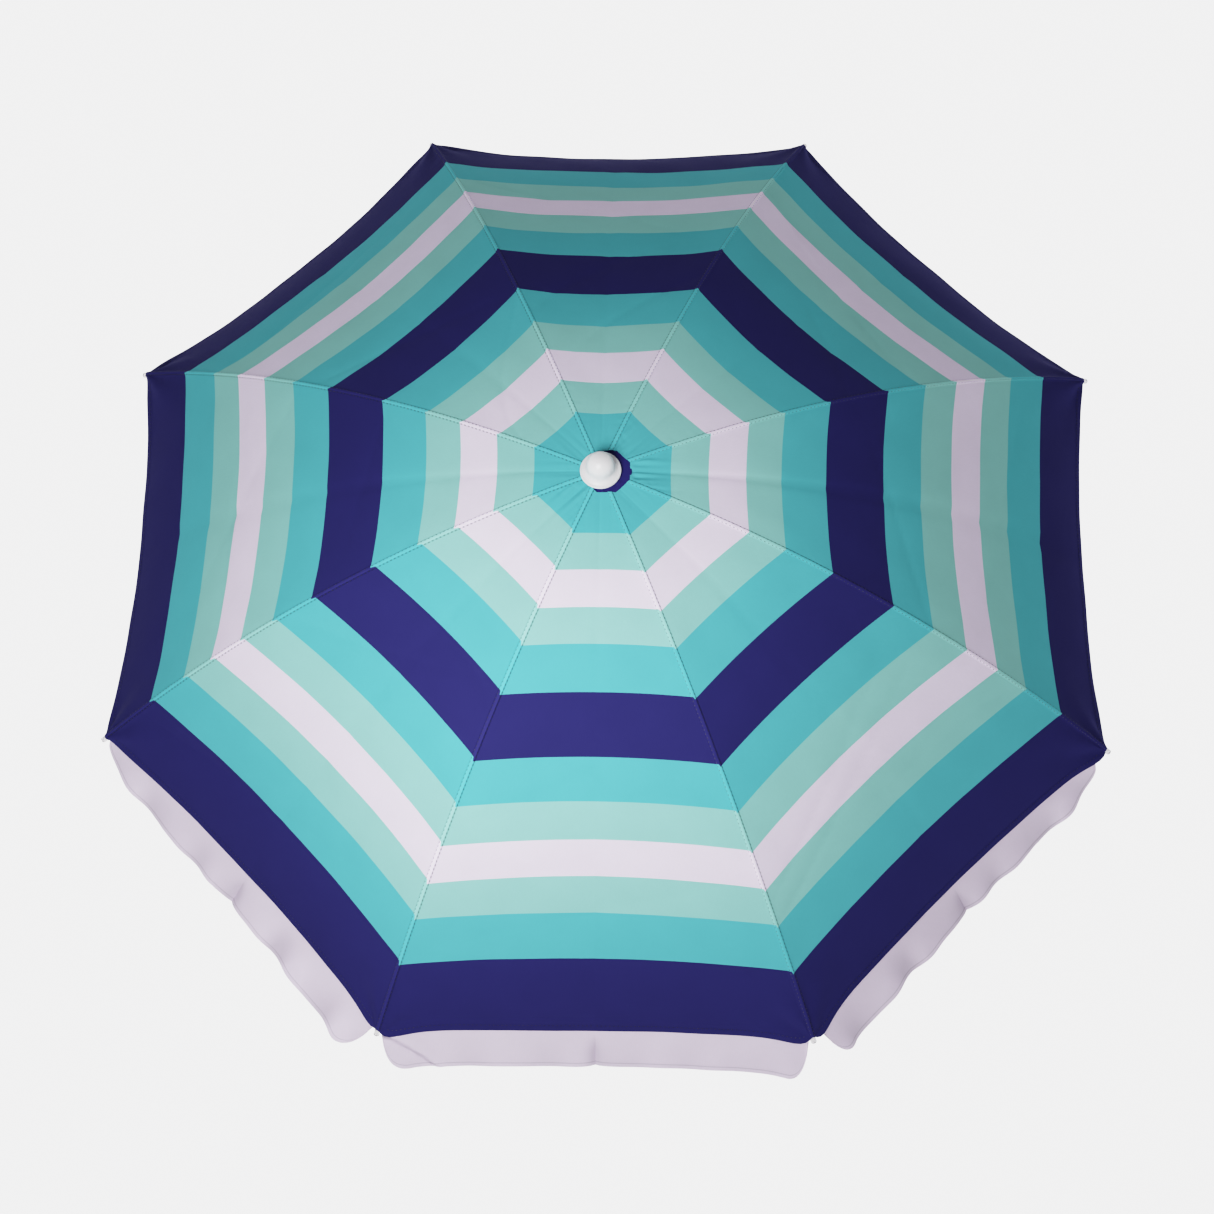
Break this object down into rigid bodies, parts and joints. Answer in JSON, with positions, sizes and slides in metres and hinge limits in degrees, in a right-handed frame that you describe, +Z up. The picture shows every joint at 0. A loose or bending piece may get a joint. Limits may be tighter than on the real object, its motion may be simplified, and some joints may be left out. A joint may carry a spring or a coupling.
{
  "type": "beach umbrella",
  "caption": "Folding striped beach umbrella with ribs, a sliding runner, a tilt joint, a height clamp and a pointed pole that stands in sand.",
  "frame": {"origin": "on the pole's axis at the sand line", "axes": "+Z up along the pole, -Y the front, +X the viewer's right"},
  "size_m": [1.5492, 1.5812, 2.1042],
  "materials": {
    "pole_paint": "white powder coat",
    "white_plastic": "glossy moulded plastic",
    "navy_plastic": "glossy moulded plastic",
    "clear_plastic": "clear moulded plastic",
    "rib_steel": "white coated steel channel",
    "bright_steel": "zinc plated",
    "canopy_fabric": "printed woven polyester",
    "valance_fabric": "woven polyester",
    "patch_fabric": "woven polyester"
  },
  "bodies": {
    "lower_pole": {"lower_pole": "pole_paint", "sand_spike": "white_plastic", "clamp_collar": "white_plastic"},
    "clamp_knob": {"clamp_knob": "navy_plastic"},
    "stem": {"middle_pole": "pole_paint", "tilt_socket": "white_plastic", "tilt_rivet": "bright_steel", "button_spring": "bright_steel"},
    "tilt_button": {"tilt_button": "navy_plastic"},
    "head": {"tilt_head": "white_plastic", "upper_pole": "pole_paint", "runner_catch": "bright_steel", "crown_notch": "white_plastic", "crown_wire": "bright_steel", "finial_cap": "white_plastic", "hub_patch": "patch_fabric"},
    "rib_1": {"rib_1": "rib_steel", "rib_tip_1": "clear_plastic", "canopy_panel_1": "canopy_fabric", "valance_1": "valance_fabric"},
    "rib_2": {"rib_2": "rib_steel", "rib_tip_2": "clear_plastic", "canopy_panel_2": "canopy_fabric", "valance_2": "valance_fabric"},
    "rib_3": {"rib_3": "rib_steel", "rib_tip_3": "clear_plastic", "canopy_panel_3": "canopy_fabric", "valance_3": "valance_fabric"},
    "rib_4": {"rib_4": "rib_steel", "rib_tip_4": "clear_plastic", "canopy_panel_4": "canopy_fabric", "valance_4": "valance_fabric"},
    "rib_5": {"rib_5": "rib_steel", "rib_tip_5": "clear_plastic", "canopy_panel_5": "canopy_fabric", "valance_5": "valance_fabric"},
    "rib_6": {"rib_6": "rib_steel", "rib_tip_6": "clear_plastic", "canopy_panel_6": "canopy_fabric", "valance_6": "valance_fabric"},
    "rib_7": {"rib_7": "rib_steel", "rib_tip_7": "clear_plastic", "canopy_panel_7": "canopy_fabric", "valance_7": "valance_fabric"},
    "rib_8": {"rib_8": "rib_steel", "rib_tip_8": "clear_plastic", "canopy_panel_8": "canopy_fabric", "valance_8": "valance_fabric"},
    "stretcher_1": {"stretcher_1": "rib_steel"},
    "stretcher_2": {"stretcher_2": "rib_steel"},
    "stretcher_3": {"stretcher_3": "rib_steel"},
    "stretcher_4": {"stretcher_4": "rib_steel"},
    "stretcher_5": {"stretcher_5": "rib_steel"},
    "stretcher_6": {"stretcher_6": "rib_steel"},
    "stretcher_7": {"stretcher_7": "rib_steel"},
    "stretcher_8": {"stretcher_8": "rib_steel"},
    "runner": {"runner": "white_plastic", "runner_wire": "bright_steel"}
  },
  "joints": [
    {"name": "height", "type": "slide", "parent": "lower_pole", "child": "stem", "axis": [0, 0, 1], "range_m": [-0.07, 0.18]},
    {"name": "clamp_screw", "type": "hinge", "parent": "lower_pole", "child": "clamp_knob", "pos_m": [0.03, 0, 0.59], "axis": [1, 0, 0], "range_deg": [0, 360]},
    {"name": "tilt", "type": "hinge", "parent": "stem", "child": "head", "pos_m": [0, 0, 0.76], "axis": [1, 0, 0], "range_deg": [-40, 40]},
    {"name": "button", "type": "slide", "parent": "stem", "child": "tilt_button", "axis": [-1, 0, 0], "range_m": [0, 0.003], "stiffness_N_per_m": 120, "springref_m": -0.005, "deforming": ["button_spring"]},
    {"name": "fold", "type": "hinge", "parent": "head", "child": "rib_1", "pos_m": [0.02033, 0.00842, 1.68845], "axis": [-0.3827, 0.9239, 0], "range_deg": [0, 69], "deforming": ["canopy_panel_1", "canopy_panel_2", "canopy_panel_3", "canopy_panel_4", "canopy_panel_5", "canopy_panel_6", "canopy_panel_7", "canopy_panel_8", "valance_1", "valance_2", "valance_3", "valance_4", "valance_5", "valance_6", "valance_7", "valance_8", "runner_catch"]},
    {"name": "rib_2_fold", "type": "hinge", "parent": "head", "child": "rib_2", "pos_m": [0.00842, 0.02033, 1.68845], "axis": [-0.9239, 0.3827, 0], "range_deg": [0, 69]},
    {"name": "rib_3_fold", "type": "hinge", "parent": "head", "child": "rib_3", "pos_m": [-0.00842, 0.02033, 1.68845], "axis": [-0.9239, -0.3827, 0], "range_deg": [0, 69]},
    {"name": "rib_4_fold", "type": "hinge", "parent": "head", "child": "rib_4", "pos_m": [-0.02033, 0.00842, 1.68845], "axis": [-0.3827, -0.9239, 0], "range_deg": [0, 69]},
    {"name": "rib_5_fold", "type": "hinge", "parent": "head", "child": "rib_5", "pos_m": [-0.02033, -0.00842, 1.68845], "axis": [0.3827, -0.9239, 0], "range_deg": [0, 69]},
    {"name": "rib_6_fold", "type": "hinge", "parent": "head", "child": "rib_6", "pos_m": [-0.00842, -0.02033, 1.68845], "axis": [0.9239, -0.3827, 0], "range_deg": [0, 69]},
    {"name": "rib_7_fold", "type": "hinge", "parent": "head", "child": "rib_7", "pos_m": [0.00842, -0.02033, 1.68845], "axis": [0.9239, 0.3827, 0], "range_deg": [0, 69]},
    {"name": "rib_8_fold", "type": "hinge", "parent": "head", "child": "rib_8", "pos_m": [0.02033, -0.00842, 1.68845], "axis": [0.3827, 0.9239, 0], "range_deg": [0, 69]},
    {"name": "stretcher_1_fold", "type": "hinge", "parent": "rib_1", "child": "stretcher_1", "pos_m": [0.37988, 0.15735, 1.62133], "axis": [-0.3827, 0.9239, 0], "range_deg": [-138, 0]},
    {"name": "stretcher_2_fold", "type": "hinge", "parent": "rib_2", "child": "stretcher_2", "pos_m": [0.15735, 0.37988, 1.62133], "axis": [-0.9239, 0.3827, 0], "range_deg": [-138, 0]},
    {"name": "stretcher_3_fold", "type": "hinge", "parent": "rib_3", "child": "stretcher_3", "pos_m": [-0.15735, 0.37988, 1.62133], "axis": [-0.9239, -0.3827, 0], "range_deg": [-138, 0]},
    {"name": "stretcher_4_fold", "type": "hinge", "parent": "rib_4", "child": "stretcher_4", "pos_m": [-0.37988, 0.15735, 1.62133], "axis": [-0.3827, -0.9239, 0], "range_deg": [-138, 0]},
    {"name": "stretcher_5_fold", "type": "hinge", "parent": "rib_5", "child": "stretcher_5", "pos_m": [-0.37988, -0.15735, 1.62133], "axis": [0.3827, -0.9239, 0], "range_deg": [-138, 0]},
    {"name": "stretcher_6_fold", "type": "hinge", "parent": "rib_6", "child": "stretcher_6", "pos_m": [-0.15735, -0.37988, 1.62133], "axis": [0.9239, -0.3827, 0], "range_deg": [-138, 0]},
    {"name": "stretcher_7_fold", "type": "hinge", "parent": "rib_7", "child": "stretcher_7", "pos_m": [0.15735, -0.37988, 1.62133], "axis": [0.9239, 0.3827, 0], "range_deg": [-138, 0]},
    {"name": "stretcher_8_fold", "type": "hinge", "parent": "rib_8", "child": "stretcher_8", "pos_m": [0.37988, -0.15735, 1.62133], "axis": [0.3827, 0.9239, 0], "range_deg": [-138, 0]},
    {"name": "runner_slide", "type": "hinge", "parent": "stretcher_1", "child": "runner", "pos_m": [0.02033, 0.00842, 1.55421], "axis": [-0.3827, 0.9239, 0], "range_deg": [0, 69]}
  ],
  "couplings": [
    {"joint": "rib_2_fold", "follows": "fold", "ratio": 1},
    {"joint": "rib_3_fold", "follows": "fold", "ratio": 1},
    {"joint": "rib_4_fold", "follows": "fold", "ratio": 1},
    {"joint": "rib_5_fold", "follows": "fold", "ratio": 1},
    {"joint": "rib_6_fold", "follows": "fold", "ratio": 1},
    {"joint": "rib_7_fold", "follows": "fold", "ratio": 1},
    {"joint": "rib_8_fold", "follows": "fold", "ratio": 1},
    {"joint": "stretcher_1_fold", "follows": "fold", "ratio": -2},
    {"joint": "stretcher_2_fold", "follows": "fold", "ratio": -2},
    {"joint": "stretcher_3_fold", "follows": "fold", "ratio": -2},
    {"joint": "stretcher_4_fold", "follows": "fold", "ratio": -2},
    {"joint": "stretcher_5_fold", "follows": "fold", "ratio": -2},
    {"joint": "stretcher_6_fold", "follows": "fold", "ratio": -2},
    {"joint": "stretcher_7_fold", "follows": "fold", "ratio": -2},
    {"joint": "stretcher_8_fold", "follows": "fold", "ratio": -2},
    {"joint": "runner_slide", "follows": "fold", "ratio": 1}
  ]
}
